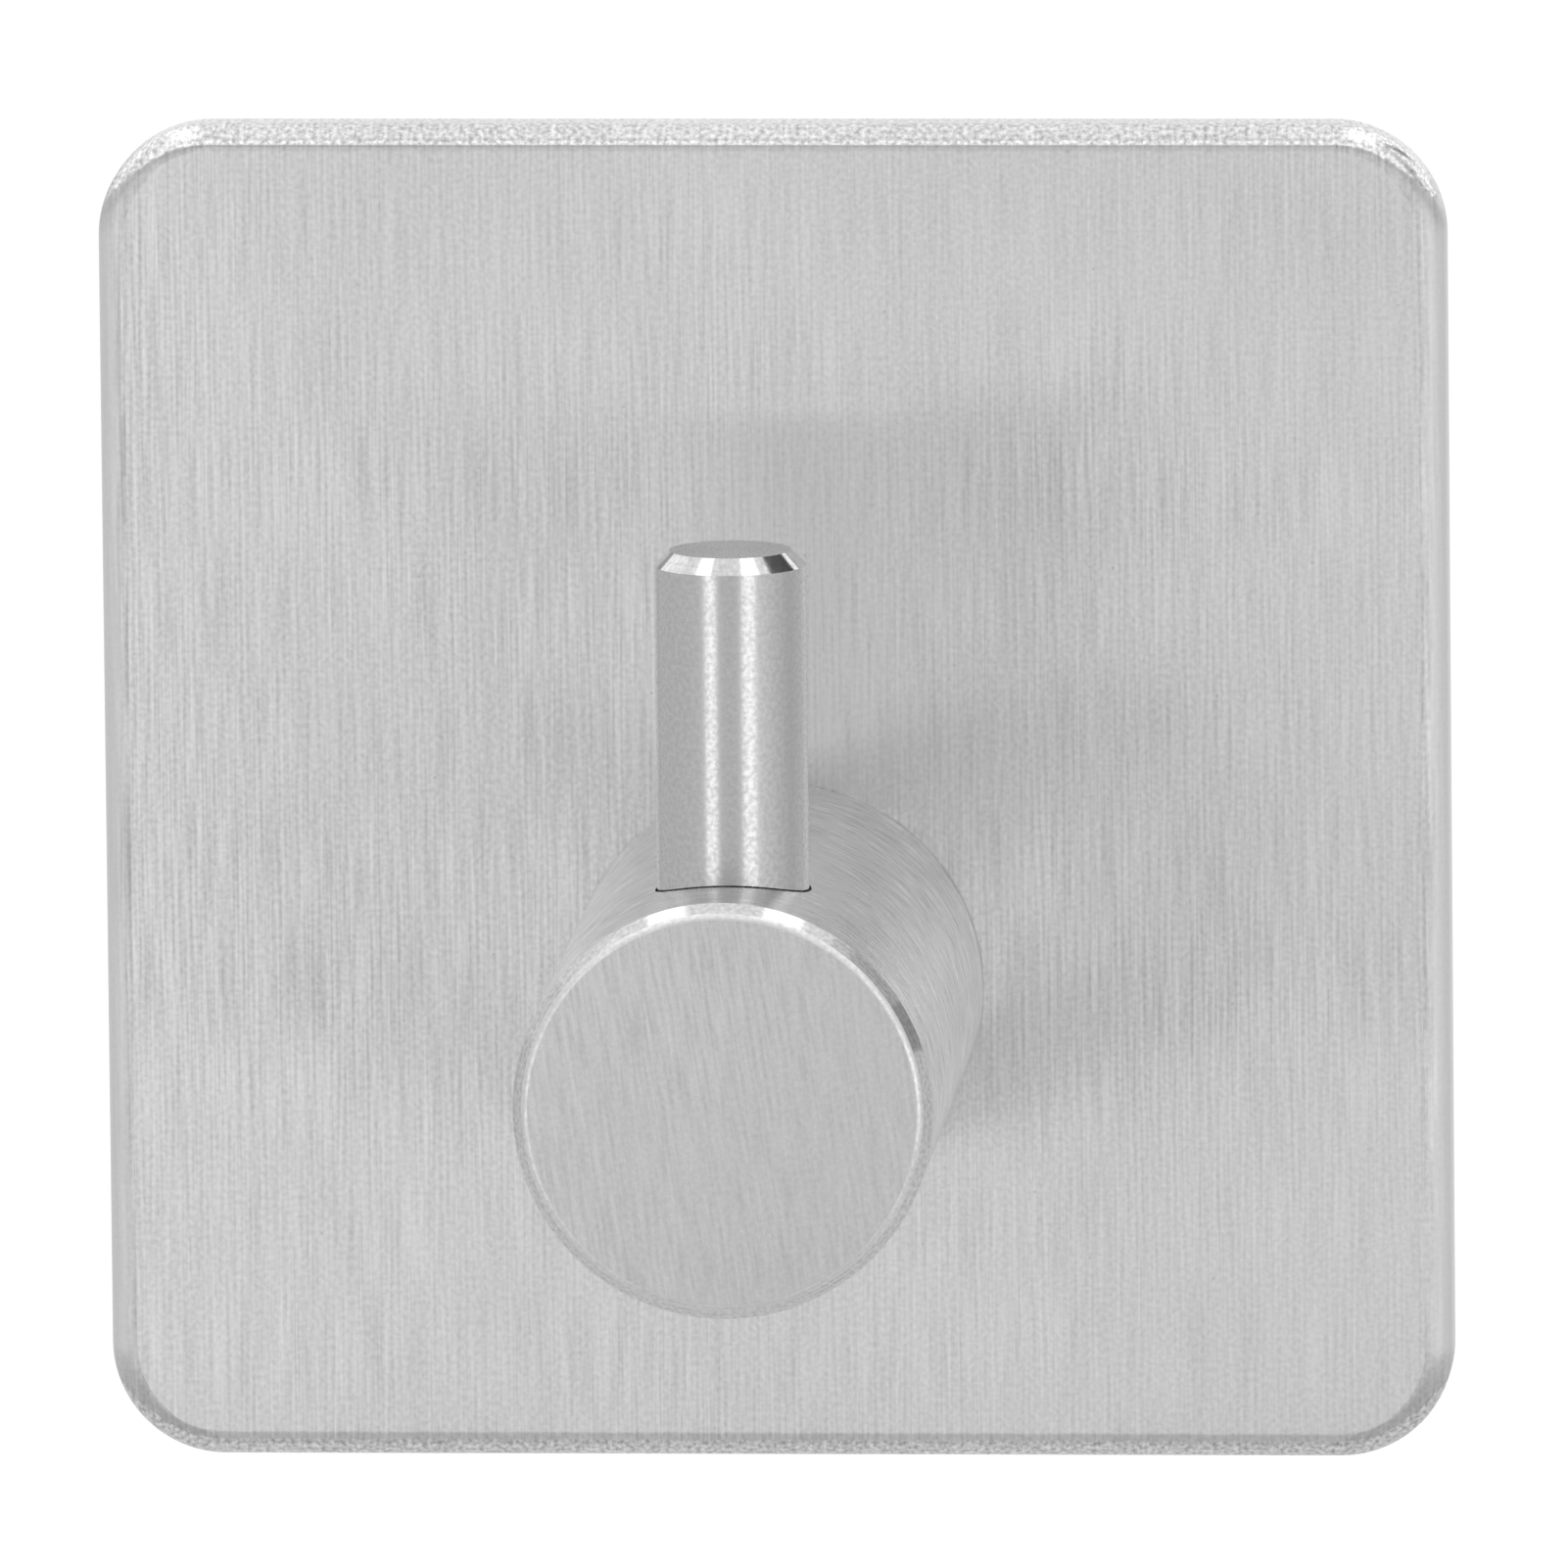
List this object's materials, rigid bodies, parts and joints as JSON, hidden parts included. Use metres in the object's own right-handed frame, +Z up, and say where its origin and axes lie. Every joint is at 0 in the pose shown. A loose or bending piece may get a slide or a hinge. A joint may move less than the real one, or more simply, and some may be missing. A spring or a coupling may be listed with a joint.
{
  "type": "adhesive wall hook",
  "caption": "Square brushed steel plate with a rolled-back rim and foam tape behind it, carrying a round chamfered peg with an upright pin that keeps hung things from sliding off.",
  "frame": {"origin": "middle of the square tape's wall side, on the wall's surface", "axes": "+Y into the wall, -Y out of it towards the user, +Z up, +X to the user's right"},
  "size_m": [0.045, 0.0278, 0.045],
  "materials": {
    "brushed_plate": "stainless sheet, hairline brushed up and down",
    "turned_peg": "turned stainless bar, fine satin with a polished chamfer",
    "satin_pin": "turned stainless rod, satin with a polished chamfer",
    "screw_steel": "plain cold-headed stainless",
    "spring_steel": "stamped spring steel",
    "acrylic_adhesive": "clear tacky acrylic skin",
    "closed_cell_foam": "grey closed-cell foam"
  },
  "bodies": {
    "root": {"base_plate": "brushed_plate", "peg": "turned_peg", "hook_pin": "satin_pin", "fixing_screw": "screw_steel", "lock_washer": "spring_steel", "plate_adhesive": "acrylic_adhesive", "foam_core": "closed_cell_foam", "wall_adhesive": "acrylic_adhesive"}
  },
  "joints": []
}
